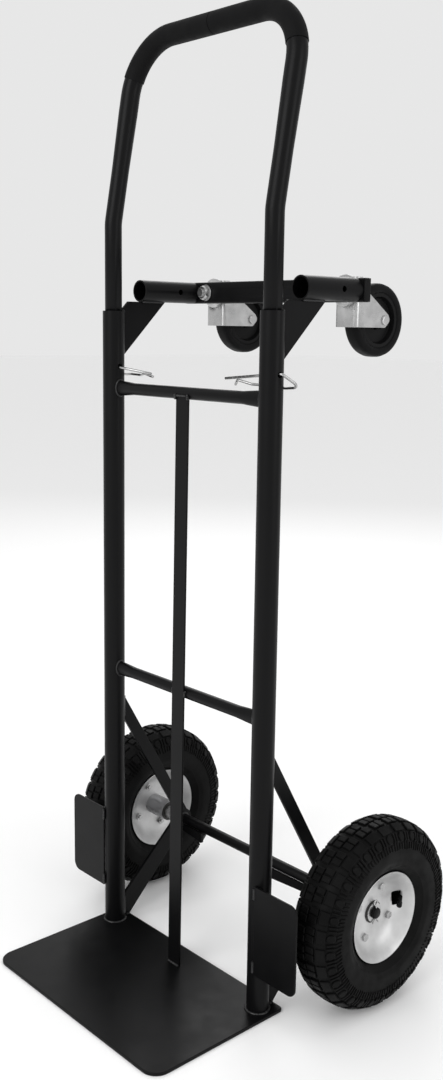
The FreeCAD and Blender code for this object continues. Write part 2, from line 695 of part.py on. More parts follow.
def caster_race(side):
    """Fixed race: a pressed cup between the bar and the crown, open at the back for the balls."""
    back = CROWN_FRONT - SMALL_GAP
    bore = STEM_RADIUS + 0.2
    inner = BALL_CIRCLE - BALL_RADIUS - 0.1
    outer = BALL_CIRCLE + BALL_RADIUS + 0.1
    floor = ball_y() - BALL_RADIUS - RUNNING
    outline = [(CASTER_BAR_BACK, bore), (CASTER_BAR_BACK, RACE_RADIUS - 2.0),
               (CASTER_BAR_BACK + 2.0, RACE_RADIUS), (back, RACE_RADIUS), (back, outer),
               (floor, outer), (floor, inner), (back, inner), (back, bore)]
    return stem_ring(side, outline)


def swivel_balls(side):
    """Ring of balls between the fixed race and the crown."""
    balls = []
    for ball in range(BALL_COUNT):
        turn = 2 * math.pi * ball / BALL_COUNT
        centre = stem_point(side, ball_y(), BALL_CIRCLE * math.cos(turn), BALL_CIRCLE * math.sin(turn))
        balls.append(Part.makeSphere(BALL_RADIUS, centre))
    return Part.makeCompound(balls)


def caster_axle_point(side, out=0.0):
    return vec(side * CASTER_X + out, CASTER_BAR_BACK + CASTER_REACH, SOCKET_HEIGHT - CASTER_TRAIL)


def caster_fork(side):
    """Folded fork: a crown across the swivel axis and two legs back to the wheel axle."""
    axle_y = CASTER_BAR_BACK + CASTER_REACH
    axle_z = SOCKET_HEIGHT - CASTER_TRAIL
    top = SOCKET_HEIGHT + FORK_TOP
    low = SOCKET_HEIGHT - FORK_BOTTOM
    end = FORK_BOTTOM - CASTER_TRAIL
    outline = [(CROWN_FRONT, low), (axle_y + 2, low), (axle_y + 2 + end, axle_z),
               (axle_y + end * 0.75, axle_z + end * 0.75), (CROWN_FRONT + 26, top - 21),
               (CROWN_BACK + 9, top), (CROWN_FRONT, top)]
    half = FORK_WIDTH / 2
    block = plate_x(outline, side * CASTER_X - half, FORK_WIDTH)
    block = round_edges(block, end * 0.6, lambda e: along(e, AXIS_X)
                        and e.CenterOfMass.y > axle_y + 1)
    block = round_edges(block, BEND_INSIDE + FORK_SHEET - 0.5, lambda e: along(e, AXIS_Z)
                        and e.CenterOfMass.y < CROWN_FRONT + 1)
    inner = half - FORK_SHEET
    hollow = box(vec(side * CASTER_X - inner, CROWN_BACK, low - 10),
                 vec(side * CASTER_X + inner, axle_y + 60, top + 10))
    hollow = round_edges(hollow, BEND_INSIDE - 0.5, lambda e: along(e, AXIS_Z)
                         and e.CenterOfMass.y < CROWN_BACK + 1)
    fork = block.cut(hollow)
    fork = fork.cut(stem_rod(side, CROWN_FRONT - 5, CROWN_BACK + 5, STEM_RADIUS + RUNNING))
    groove = Part.makeTorus(BALL_CIRCLE, BALL_RADIUS + 0.02, stem_point(side, ball_y()), AXIS_Y)
    fork = fork.cut(groove)
    reach = vec(FORK_WIDTH, 0, 0)
    return fork.cut(rod(caster_axle_point(side) - reach, caster_axle_point(side) + reach,
                        CASTER_AXLE_RADIUS + 0.05))


def caster_axle(side):
    """Wheel rivet: a pin with a domed head outside each fork leg."""
    half = FORK_WIDTH / 2
    pin = rod(caster_axle_point(side, -half - 1), caster_axle_point(side, half + 1),
              CASTER_AXLE_RADIUS)
    for face in (-1, 1):
        head = rod(caster_axle_point(side, face * half), caster_axle_point(side, face * (half + 3)),
                   CASTER_AXLE_RADIUS + 3.0)
        rim = [e for e in head.Edges if isinstance(e.Curve, Part.Circle)
               and abs(abs(e.CenterOfMass.x - side * CASTER_X) - half) > 2.5]
        pin = pin.fuse(head.makeFillet(2.0, rim))
    return pin.removeSplitter()


def caster_ring(side, outline):
    """Turned piece of a caster wheel from (out, radius) points."""
    centre = caster_axle_point(side)
    points = [centre + vec(out, 0, radius) for out, radius in outline]
    return turned(points, centre, AXIS_X)


def caster_core(side):
    """Moulded wheel centre: a hub, a thin web and an outer ring."""
    half = CASTER_WHEEL_WIDTH / 2
    bore = CASTER_AXLE_RADIUS + RUNNING
    hub_end = FORK_WIDTH / 2 - FORK_SHEET - SMALL_GAP
    hub_r = 11.0
    web = 3.5
    rim_in = CASTER_CORE_RADIUS - 5.0
    outline = [(-hub_end, bore), (-hub_end, hub_r), (-web, hub_r + 2), (-web, rim_in - 3),
               (-half + 2, rim_in), (-half + 2, CASTER_CORE_RADIUS), (half - 2, CASTER_CORE_RADIUS),
               (half - 2, rim_in), (web, rim_in - 3), (web, hub_r + 2), (hub_end, hub_r),
               (hub_end, bore)]
    return caster_ring(side, outline)


def caster_tread(side):
    """Solid rubber tyre on the wheel centre."""
    half = CASTER_WHEEL_WIDTH / 2
    outer = CASTER_WHEEL_RADIUS
    outline = [(-half + 2, CASTER_CORE_RADIUS), (-half, CASTER_CORE_RADIUS + 3), (-half, outer - 5),
               (-half + 2, outer - 1.6), (-half + 6, outer - 0.2), (0, outer), (half - 6, outer - 0.2),
               (half - 2, outer - 1.6), (half, outer - 5), (half, CASTER_CORE_RADIUS + 3),
               (half - 2, CASTER_CORE_RADIUS)]
    return caster_ring(side, outline)


# ---- handle ----

LEAN_TAN = math.tan(math.radians(LEAN))


def handle_y(z):
    return (z - BEND_START) * LEAN_TAN if z > BEND_START else 0.0


def leg_point(side, z):
    return vec(side * RAIL_X, handle_y(z), z)


def lean_direction():
    return vec(0, math.sin(math.radians(LEAN)), math.cos(math.radians(LEAN)))


def corner_start():
    """Height where a leg begins to turn into the top bar."""
    return HANDLE_TOP - CORNER_RADIUS * math.cos(math.radians(LEAN))


def knee_wire(side):
    """Lower leg, the gentle knee and the leaning leg up to the start of the taper."""
    radius = 60.0
    cut = radius * math.tan(math.radians(LEAN) / 2)
    low = leg_point(side, BEND_START - cut)
    high = leg_point(side, BEND_START) + lean_direction() * cut
    half_turn = math.radians(LEAN) / 2
    centre = low + vec(0, radius, 0)
    middle = centre + vec(0, -radius * math.cos(half_turn), radius * math.sin(half_turn))
    bottom = leg_point(side, HANDLE_BOTTOM)
    return Part.Wire([Part.makeLine(bottom, low), Part.Arc(low, middle, high).toShape(),
                      Part.makeLine(high, leg_point(side, TAPER_START))])


def swept(wire, radius):
    """Round bar along a wire that is given from its start."""
    first = wire.OrderedEdges[0]
    start = wire.OrderedVertexes[0].Point
    at_start = first.valueAt(first.FirstParameter).distanceToPoint(start) < 0.01
    tangent = first.tangentAt(first.FirstParameter if at_start else first.LastParameter)
    profile = Part.Wire(Part.makeCircle(radius, start, tangent))
    return wire.makePipeShell([profile], True, False)


def corner_point(side, turn):
    """Point on a corner of the upper loop, at an angle from its leg towards the top bar."""
    low = leg_point(side, corner_start())
    out = side * CORNER_RADIUS * (math.cos(math.radians(turn)) - 1)
    up = CORNER_RADIUS * math.sin(math.radians(turn))
    return low + AXIS_X * out + lean_direction() * up


def corner_arc(side, turn):
    return Part.Arc(corner_point(side, turn), corner_point(side, (turn + 90) / 2),
                    corner_point(side, 90)).toShape()


def loop_wire():
    """Upper loop of the handle, from the top of one taper to the other."""
    edges = [Part.makeLine(leg_point(-1, TAPER_END), corner_point(-1, 0)), corner_arc(-1, 0),
             Part.makeLine(corner_point(-1, 90), corner_point(1, 90)), corner_arc(1, 0),
             Part.makeLine(corner_point(1, 0), leg_point(1, TAPER_END))]
    return Part.Wire(edges)


def grip_wire():
    """The part of the upper loop under the left grip."""
    end = corner_point(-1, 90)
    middle = vec(-GRIP_GAP, end.y, end.z)
    return Part.Wire([corner_arc(-1, GRIP_TURN), Part.makeLine(end, middle)])


def handle_tube():
    """One bent tube: slim legs for the rails, a taper, and a wider upper loop."""
    solid = None
    for shrink in (0, HANDLE_WALL):
        body = swept(loop_wire(), TOP_RADIUS - shrink)
        for side in (-1, 1):
            low = leg_point(side, TAPER_START)
            high = leg_point(side, TAPER_END)
            taper = Part.makeCone(LEG_RADIUS - shrink, TOP_RADIUS - shrink,
                                  high.distanceToPoint(low), low, lean_direction())
            body = body.fuse(swept(knee_wire(side), LEG_RADIUS - shrink)).fuse(taper)
        solid = body if solid is None else solid.cut(body)
    for side in (-1, 1):
        solid = solid.cut(pin_hole(side * RAIL_X, 0, PIN_HEIGHT))
    return solid


def grip(side):
    """Thin sleeve over one half of the upper loop."""
    path = grip_wire()
    sleeve = swept(path, TOP_RADIUS + GRIP_WALL).cut(swept(path, TOP_RADIUS))
    return sleeve if side < 0 else sleeve.mirror(vec(0, 0, 0), AXIS_X)


# ---- hitch pins ----

def clip_point(side, along_pin, away):
    """Point of a clip: outwards along its straight leg, and away from it towards the other leg."""
    name = "left" if side < 0 else "right"
    tilt = math.radians(PIN_TILT)
    droop = math.radians(PIN_DROOP[name])
    distance = along_pin - PIN_PUSHED_IN[name]
    outwards = vec(side * math.cos(tilt), 0, math.sin(tilt))
    down = vec(side * math.sin(tilt) * math.sin(droop), math.cos(droop),
               -math.cos(tilt) * math.sin(droop))
    return vec(side * RAIL_X, 0, PIN_HEIGHT) + outwards * distance + down * away


def bent_wire(corners, radii):
    """Wire that follows straight lines between corners, each inner corner rounded with its own radius."""
    edges = []
    last = corners[0]
    for before, corner, after, radius in zip(corners, corners[1:], corners[2:], radii):
        back = (before - corner).normalize()
        ahead = (after - corner).normalize()
        half = back.getAngle(ahead) / 2
        start = corner + back * (radius / math.tan(half))
        end = corner + ahead * (radius / math.tan(half))
        middle = corner + (back + ahead).normalize() * (radius / math.sin(half) - radius)
        edges.append(Part.makeLine(last, start))
        edges.append(Part.Arc(start, middle, end).toShape())
        last = end
    edges.append(Part.makeLine(last, corners[-1]))
    return Part.Wire(edges)


def hitch_pin(side):
    """Spring wire clip: a straight leg through the rail and a waved leg that passes behind it."""
    behind = TUBE_R + PIN_RADIUS + 10.0
    corners = [(-PIN_TIP, 0), (PIN_LOOP + 5.0, 0), (29.5, behind), (3.0, behind), (-20.0, 20.3),
               (-48.0, 15.6), (-66.5, 4.6), (-78.0, 13.2)]
    radii = [5.5, 8.0, 15.0, 25.0, 12.0, 4.5]
    wire = bent_wire([clip_point(side, out, away) for out, away in corners], radii)
    return swept(wire, PIN_RADIUS)


# ---- all the pieces ----

def main():
    os.makedirs("parts", exist_ok=True)
    save("toe_plate", toe_plate())
    save("upper_crossbar", crossbar(UPPER_BAR_HEIGHT))
    save("middle_crossbar", crossbar(MIDDLE_BAR_HEIGHT))
    save("centre_strap", centre_strap())
    save("axle", axle())
    save("axle_spacers", axle_spacers())
    save("axle_stays", axle_stays())
    save("axle_washers", axle_washers())
    save("cotter_pins", cotter_pins())
    save("caster_bar", caster_bar())
    save("caster_bar_caps", caster_bar_caps())
    save("stem_washers", stem_washers())
    save("stem_nuts", stem_nuts())
    save("handle_tube", handle_tube())
    pairs = {
        "rail": rail, "wheel_guard": wheel_guard, "upper_brace": upper_brace,
        "lower_brace": lambda side: lower_brace_shape(side).cut(axle_cutter(AXLE_RADIUS)),
        "socket_gusset": socket_gusset, "handle_socket": handle_socket,
        "tyre": tyre, "inner_tube": inner_tube, "valve_cap": valve_cap, "hub": hub,
        "wheel_bearings": wheel_bearings, "rim_bolts": rim_bolts,
        "rim_outer": lambda side: rim_half(side, 1), "rim_inner": lambda side: rim_half(side, -1),
        "caster_stem": caster_stem, "caster_race": caster_race, "swivel_balls": swivel_balls,
        "caster_fork": caster_fork, "caster_axle": caster_axle, "caster_core": caster_core,
        "caster_tread": caster_tread, "grip": grip, "hitch_pin": hitch_pin,
    }
    for name, make in pairs.items():
        for side_name, side in SIDES.items():
            save(name + "_" + side_name, make(side))


main()
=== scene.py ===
"""Looks of a convertible hand truck: tube frame, knobbly tyres, zinc casters and hitch pins."""
import json
import math
from collections import namedtuple

import bmesh
import bpy
from mathutils import Matrix, Vector


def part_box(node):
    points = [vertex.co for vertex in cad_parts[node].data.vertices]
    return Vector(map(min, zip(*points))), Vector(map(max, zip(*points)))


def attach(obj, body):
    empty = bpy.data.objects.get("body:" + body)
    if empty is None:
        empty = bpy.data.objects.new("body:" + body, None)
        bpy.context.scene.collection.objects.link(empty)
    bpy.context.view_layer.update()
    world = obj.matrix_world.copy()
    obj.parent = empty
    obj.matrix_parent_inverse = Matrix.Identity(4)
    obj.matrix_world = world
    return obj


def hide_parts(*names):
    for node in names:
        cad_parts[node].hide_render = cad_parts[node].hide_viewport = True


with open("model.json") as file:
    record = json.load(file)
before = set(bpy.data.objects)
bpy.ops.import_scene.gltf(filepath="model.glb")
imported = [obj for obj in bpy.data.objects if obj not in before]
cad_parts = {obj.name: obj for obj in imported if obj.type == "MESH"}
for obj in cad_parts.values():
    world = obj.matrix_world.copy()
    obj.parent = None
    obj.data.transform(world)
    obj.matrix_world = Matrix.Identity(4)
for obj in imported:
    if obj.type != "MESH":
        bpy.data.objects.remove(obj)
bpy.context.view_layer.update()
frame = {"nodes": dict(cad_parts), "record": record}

bl_info = {
    "name": "Convertible hand truck",
    "version": (1, 0, 0),
    "blender": (4, 5, 0),
    "location": "3D View > Sidebar > Hand truck",
    "description": "Builds the looks of a convertible hand truck round its frame",
    "category": "Object",
}

SIDES = (("left", -1), ("right", 1))


# ---- what the frame says ----

def centre_of(node):
    low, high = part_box(node)
    return (low + high) / 2


def half_size(node, axis):
    low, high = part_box(node)
    return (getattr(high, axis) - getattr(low, axis)) / 2


RAIL_X = centre_of("rail_right").x
RAIL_RADIUS = half_size("rail_right", "x")
PLATE_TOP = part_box("toe_plate")[1].z
WHEEL_CENTRE = centre_of("tyre_right")
WHEEL_RADIUS = half_size("tyre_right", "z")
TYRE_HALF = half_size("tyre_right", "x")
AXLE_RADIUS = half_size("axle", "z")
BODY_OF = {node: body
           for body, nodes in frame["record"]["behaviour"]["bodies"].items() for node in nodes}


# ---- settings that a user would change ----

class HandTruckFinishes(bpy.types.PropertyGroup):
    paint_colour: bpy.props.FloatVectorProperty(
        name="Paint", description="Colour of the powder coat", subtype="COLOR", size=3,
        min=0, max=1, default=(0.0035, 0.0035, 0.0038))
    paint_roughness: bpy.props.FloatProperty(
        name="Paint roughness", description="Lower is glossier", min=0, max=1, default=0.34)
    zinc_colour: bpy.props.FloatVectorProperty(
        name="Zinc", description="Colour of the plated parts", subtype="COLOR", size=3,
        min=0, max=1, default=(0.50, 0.50, 0.50))
    rim_colour: bpy.props.FloatVectorProperty(
        name="Rim", description="Colour of the rim paint", subtype="COLOR", size=3,
        min=0, max=1, default=(0.60, 0.60, 0.60))
    rubber_colour: bpy.props.FloatVectorProperty(
        name="Rubber", description="Colour of the tyres", subtype="COLOR", size=3,
        min=0, max=1, default=(0.0032, 0.0032, 0.0032))


class HandTruckSizes(bpy.types.PropertyGroup):
    edge_round: bpy.props.FloatProperty(
        name="Edge round", description="Softened edge of cut steel", unit="LENGTH",
        min=0.0001, max=0.002, default=0.0006)
    weld_radius: bpy.props.FloatProperty(
        name="Weld", description="Half the width of a weld bead", unit="LENGTH",
        min=0.001, max=0.004, default=0.0021)
    tread_pitches: bpy.props.IntProperty(
        name="Tread pitches", description="How often the tread pattern repeats round a tyre",
        min=12, max=48, default=31)
    lug_height: bpy.props.FloatProperty(
        name="Lug height", description="Depth of the tread", unit="LENGTH",
        min=0.001, max=0.004, default=0.0032)


class HandTruckStage(bpy.types.PropertyGroup):
    floor_shade: bpy.props.FloatProperty(
        name="Floor shade", description="Grey of the floor, from black to white",
        min=0, max=1, default=0.98)
    key_power: bpy.props.FloatProperty(
        name="Key light", description="Power of the large light in front", unit="POWER",
        min=0, default=60)
    fill_power: bpy.props.FloatProperty(
        name="Fill light", description="Power of the lights at the side and behind", unit="POWER",
        min=0, default=26)


def finishes():
    return bpy.context.scene.hand_truck_finishes


def sizes():
    return bpy.context.scene.hand_truck_sizes


def stage_settings():
    return bpy.context.scene.hand_truck_stage


# ---- finishes ----

NOISE_SPAN = (0.3, 0.7)         # the part of the noise that roughness follows
CLOUD_SPAN = (0.32, 0.68)       # the part of the noise that colour follows
PLASTIC_BLACK = (0.0030, 0.0030, 0.0032)


def start_material(name, colour, roughness, metallic, specular=0.5):
    material = bpy.data.materials.new(name)
    material.use_nodes = True
    shader = material.node_tree.nodes["Principled BSDF"]
    shader.inputs["Base Color"].default_value = (*colour, 1)
    shader.inputs["Roughness"].default_value = roughness
    shader.inputs["Metallic"].default_value = metallic
    shader.inputs["Specular IOR Level"].default_value = specular
    return material, shader


def noise(material, scale, detail=3):
    """Noise on object coordinates, with a size that is given per metre."""
    tree = material.node_tree
    place = tree.nodes.new("ShaderNodeTexCoord")
    texture = tree.nodes.new("ShaderNodeTexNoise")
    texture.inputs["Scale"].default_value = scale
    texture.inputs["Detail"].default_value = detail
    tree.links.new(place.outputs["Object"], texture.inputs["Vector"])
    return texture.outputs["Fac"]


def add_bump(material, shader, height, strength, distance):
    tree = material.node_tree
    bump = tree.nodes.new("ShaderNodeBump")
    bump.inputs["Strength"].default_value = strength
    bump.inputs["Distance"].default_value = distance
    tree.links.new(height, bump.inputs["Height"])
    tree.links.new(bump.outputs["Normal"], shader.inputs["Normal"])


def vary_roughness(material, shader, pattern, low, high):
    tree = material.node_tree
    spread = tree.nodes.new("ShaderNodeMapRange")
    spread.inputs["From Min"].default_value = NOISE_SPAN[0]
    spread.inputs["From Max"].default_value = NOISE_SPAN[1]
    spread.inputs["To Min"].default_value = low
    spread.inputs["To Max"].default_value = high
    tree.links.new(pattern, spread.inputs["Value"])
    tree.links.new(spread.outputs["Result"], shader.inputs["Roughness"])


def vary_colour(material, shader, pattern, dark, light):
    tree = material.node_tree
    ramp = tree.nodes.new("ShaderNodeValToRGB")
    for element, place, colour in zip(ramp.color_ramp.elements, CLOUD_SPAN, (dark, light)):
        element.position = place
        element.color = (*colour, 1)
    tree.links.new(pattern, ramp.inputs["Fac"])
    tree.links.new(ramp.outputs["Color"], shader.inputs["Base Color"])


def shade(colour, factor):
    return tuple(channel * factor for channel in colour)


def powder_coat():
    """Satin black powder coat with a faint orange peel."""
    look = finishes()
    material, shader = start_material("powder_coat", look.paint_colour, look.paint_roughness, 0, 0.11)
    vary_roughness(material, shader, noise(material, 35), look.paint_roughness - 0.04,
                   look.paint_roughness + 0.05)
    add_bump(material, shader, noise(material, 650, 2), 0.10, 0.0003)
    return material


def weld_paint():
    """The same coat over rippled weld metal."""
    look = finishes()
    material, shader = start_material("coated_weld", shade(look.paint_colour, 1.6), 0.30, 0)
    add_bump(material, shader, noise(material, 420, 4), 0.5, 0.0008)
    return material


def zinc_plate():
    """Bright zinc with soft cloudy patches."""
    colour = finishes().zinc_colour
    material, shader = start_material("zinc_plate", colour, 0.30, 1)
    vary_colour(material, shader, noise(material, 55), shade(colour, 0.84), shade(colour, 1.10))
    vary_roughness(material, shader, noise(material, 120), 0.24, 0.40)
    add_bump(material, shader, noise(material, 300), 0.06, 0.0003)
    return material


def spring_wire():
    """Drawn and plated spring wire."""
    material, shader = start_material("spring_wire", shade(finishes().zinc_colour, 0.8), 0.26, 1)
    vary_roughness(material, shader, noise(material, 240), 0.16, 0.30)
    return material


def ball_steel():
    material, shader = start_material("ball_steel", (0.40, 0.40, 0.41), 0.34, 1)
    vary_roughness(material, shader, noise(material, 180), 0.28, 0.42)
    return material


def shaded_bearing_steel():
    """Bearing and axle end, painted dark: the colour stands in for the shade in the hub's recess round
    the axle.
    """
    # near-black base colour is painted shade of the recess, not the steel's own colour
    material, shader = start_material("shaded_bearing_steel", (0.045, 0.044, 0.042), 0.45, 0.6)
    vary_roughness(material, shader, noise(material, 160), 0.35, 0.55)
    return material


def rim_paint():
    """Pale silver paint on pressed steel."""
    colour = finishes().rim_colour
    material, shader = start_material("rim_paint", colour, 0.48, 0.80)
    vary_colour(material, shader, noise(material, 30), shade(colour, 0.86), shade(colour, 1.10))
    add_bump(material, shader, noise(material, 500, 2), 0.05, 0.0002)
    return material


def tread_rubber():
    """Dull rubber, dusty in patches."""
    colour = finishes().rubber_colour
    material, shader = start_material("tread_rubber", colour, 0.66, 0, 0.07)
    vary_colour(material, shader, noise(material, 26, 5), shade(colour, 0.6), shade(colour, 1.5))
    vary_roughness(material, shader, noise(material, 70), 0.40, 0.60)
    add_bump(material, shader, noise(material, 380), 0.22, 0.0004)
    return material


def roller_rubber():
    material, shader = start_material("roller_rubber", PLASTIC_BLACK, 0.44, 0, 0.09)
    vary_roughness(material, shader, noise(material, 90), 0.45, 0.60)
    return material


def moulded_black():
    """Moulded black plastic."""
    material, shader = start_material("moulded_black", PLASTIC_BLACK, 0.38, 0, 0.11)
    add_bump(material, shader, noise(material, 500, 2), 0.08, 0.0002)
    return material


def dipped_vinyl():
    """Matt dipped vinyl with a faint grain."""
    material, shader = start_material("dipped_vinyl", (0.0050, 0.0050, 0.0052), 0.52, 0, 0.07)
    vary_roughness(material, shader, noise(material, 60), 0.52, 0.66)
    add_bump(material, shader, noise(material, 900, 2), 0.25, 0.0003)
    return material


def floor_finish():
    grey = stage_settings().floor_shade
    return start_material("pale_floor", (grey, grey, grey), 0.85, 0, 0.1)[0]


FINISH_MAKERS = {
    "powder_coat": powder_coat,
    "coated_weld": weld_paint,
    "zinc_plate": zinc_plate,
    "spring_wire": spring_wire,
    "ball_steel": ball_steel,
    "shaded_bearing_steel": shaded_bearing_steel,
    "rim_paint": rim_paint,
    "tread_rubber": tread_rubber,
    "roller_rubber": roller_rubber,
    "moulded_black": moulded_black,
    "dipped_vinyl": dipped_vinyl,
    "pale_floor": floor_finish,
}


def finish(name):
    return bpy.data.materials.get(name) or FINISH_MAKERS[name]()


# ---- making pieces ----

def to_object(name, bm, finish_name, smooth_angle=32):
    mesh = bpy.data.meshes.new(name)
    bm.to_mesh(mesh)
    bm.free()
    mesh.shade_smooth()
    mesh.set_sharp_from_angle(angle=math.radians(smooth_angle))
    mesh.materials.append(finish(finish_name))
    made = bpy.data.objects.new(name, mesh)
    bpy.context.scene.collection.objects.link(made)
    return made


def add_piece(name, bm, finish_name, body, nodes=(), smooth_angle=32):
    """Closes a mesh, points its faces outwards and puts it on its body."""
    bmesh.ops.remove_doubles(bm, verts=bm.verts, dist=1e-6)
    bmesh.ops.recalc_face_normals(bm, faces=bm.faces)
    made = to_object(name, bm, finish_name, smooth_angle)
    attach(made, body)
    if nodes:
        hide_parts(*nodes)
    return made


def dress(node, finish_name, edge=0.0, smooth_angle=32, segments=2):
    """A merged, smooth-shaded copy of a node with softened edges."""
    bm = bmesh.new()
    bm.from_mesh(frame["nodes"][node].data)
    bmesh.ops.remove_doubles(bm, verts=bm.verts, dist=2e-6)
    if edge:
        bmesh.ops.dissolve_limit(bm, angle_limit=math.radians(0.3), verts=bm.verts, edges=bm.edges)
    made = to_object(node + "_dressed", bm, finish_name, smooth_angle)
    if edge:
        rounding = made.modifiers.new("softened_edges", "BEVEL")
        rounding.width = edge
        rounding.segments = segments
        rounding.limit_method = "ANGLE"
        rounding.angle_limit = math.radians(40)
        rounding.harden_normals = True
    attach(made, BODY_OF[node])
    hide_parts(node)
    return made


def profile_ring(bm, points, centre, steps=96):
    """Full turn of a closed (out, radius) profile about an axis along X through the centre."""
    verts = [bm.verts.new(centre + Vector((out, 0, radius))) for out, radius in points]
    edges = [bm.edges.new((a, b)) for a, b in zip(verts, verts[1:] + verts[:1])]
    bmesh.ops.spin(bm, geom=verts + edges, cent=centre, axis=(1, 0, 0), angle=2 * math.pi,
                   steps=steps, use_merge=True, use_duplicate=False)


def rounded(points, per_span=4):
    """A smooth line through the points."""
    line = []
    for i in range(len(points) - 1):
        before = Vector(points[max(i - 1, 0)])
        start, end = Vector(points[i]), Vector(points[i + 1])
        after = Vector(points[min(i + 2, len(points) - 1)])
        for step in range(per_span):
            t = step / per_span
            line.append(0.5 * ((2 * start) + (end - before) * t
                               + (2 * before - 5 * start + 4 * end - after) * t * t
                               + (3 * start - before - 3 * end + after) * t ** 3))
    return [tuple(point) for point in line] + [tuple(points[-1])]


def turn_to(direction):
    return Vector(direction).to_track_quat("Z", "Y").to_matrix().to_4x4()


RIPPLE = 0.16                   # how far a bead swells and shrinks, as a share of its radius
RIPPLE_PITCH = 0.0016
BEAD_END = 0.35                 # radius of a bead's ends, as a share of the rest
BEAD_SIDES = 8


def bead(bm, path, radius, closed=False):
    """A rippled bead along a path of points, closed or with narrowed ends."""
    rings = []
    count = len(path)
    travelled = 0.0
    for i, point in enumerate(path):
        ahead = path[(i + 1) % count] if closed or i + 1 < count else point
        behind = path[i - 1] if closed or i else point
        if i:
            travelled += (point - path[i - 1]).length
        swell = 1 + RIPPLE * math.cos(2 * math.pi * travelled / RIPPLE_PITCH)
        if not closed and i in (0, count - 1):
            swell *= BEAD_END
        place = Matrix.Translation(point) @ turn_to(ahead - behind)
        ring = bmesh.ops.create_circle(bm, cap_ends=False, radius=radius * swell,
                                       segments=BEAD_SIDES, matrix=place)
        rings.append({edge for vert in ring["verts"] for edge in vert.link_edges})
    pairs = list(zip(rings, rings[1:] + rings[:1])) if closed else list(zip(rings, rings[1:]))
    for first, second in pairs:
        bmesh.ops.bridge_loops(bm, edges=list(first | second))
    if not closed:
        for end in (rings[0], rings[-1]):
            bmesh.ops.contextual_create(bm, geom=list(end))


def line_path(start, end, step=0.0006):
    start, end = Vector(start), Vector(end)
    count = max(3, round((end - start).length / step))
    return [start.lerp(end, i / count) for i in range(count + 1)]


def ring_path(point_at, count):
    return [Vector(point_at(2 * math.pi * i / count)) for i in range(count)]


# ---- operators ----

class HANDTRUCK_OT_tubes(bpy.types.Operator):
    """Dresses the rails, crossbars, sockets and the caster bar"""
    bl_idname = "handtruck.tubes"
    bl_label = "Tubes"

    def execute(self, context):
        edge = sizes().edge_round
        for name, _ in SIDES:
            dress("rail_" + name, "powder_coat", edge * 0.6)
            dress("handle_socket_" + name, "powder_coat", edge * 0.6)
        dress("upper_crossbar", "powder_coat", smooth_angle=50)
        dress("middle_crossbar", "powder_coat", smooth_angle=50)
        dress("caster_bar", "powder_coat")
        dress("caster_bar_caps", "moulded_black")
        return {"FINISHED"}


class HANDTRUCK_OT_plates(bpy.types.Operator):
    """Dresses the toe plate, guards, braces, gussets, strap and stays"""
    bl_idname = "handtruck.plates"
    bl_label = "Plates and flat bars"

    def execute(self, context):
        edge = sizes().edge_round
        dress("toe_plate", "powder_coat", edge * 2, segments=3)
        dress("centre_strap", "powder_coat", edge)
        dress("axle_stays", "powder_coat", edge)
        for name, _ in SIDES:
            for part in ("wheel_guard_", "upper_brace_", "lower_brace_", "socket_gusset_"):
                dress(part + name, "powder_coat", edge)
        return {"FINISHED"}


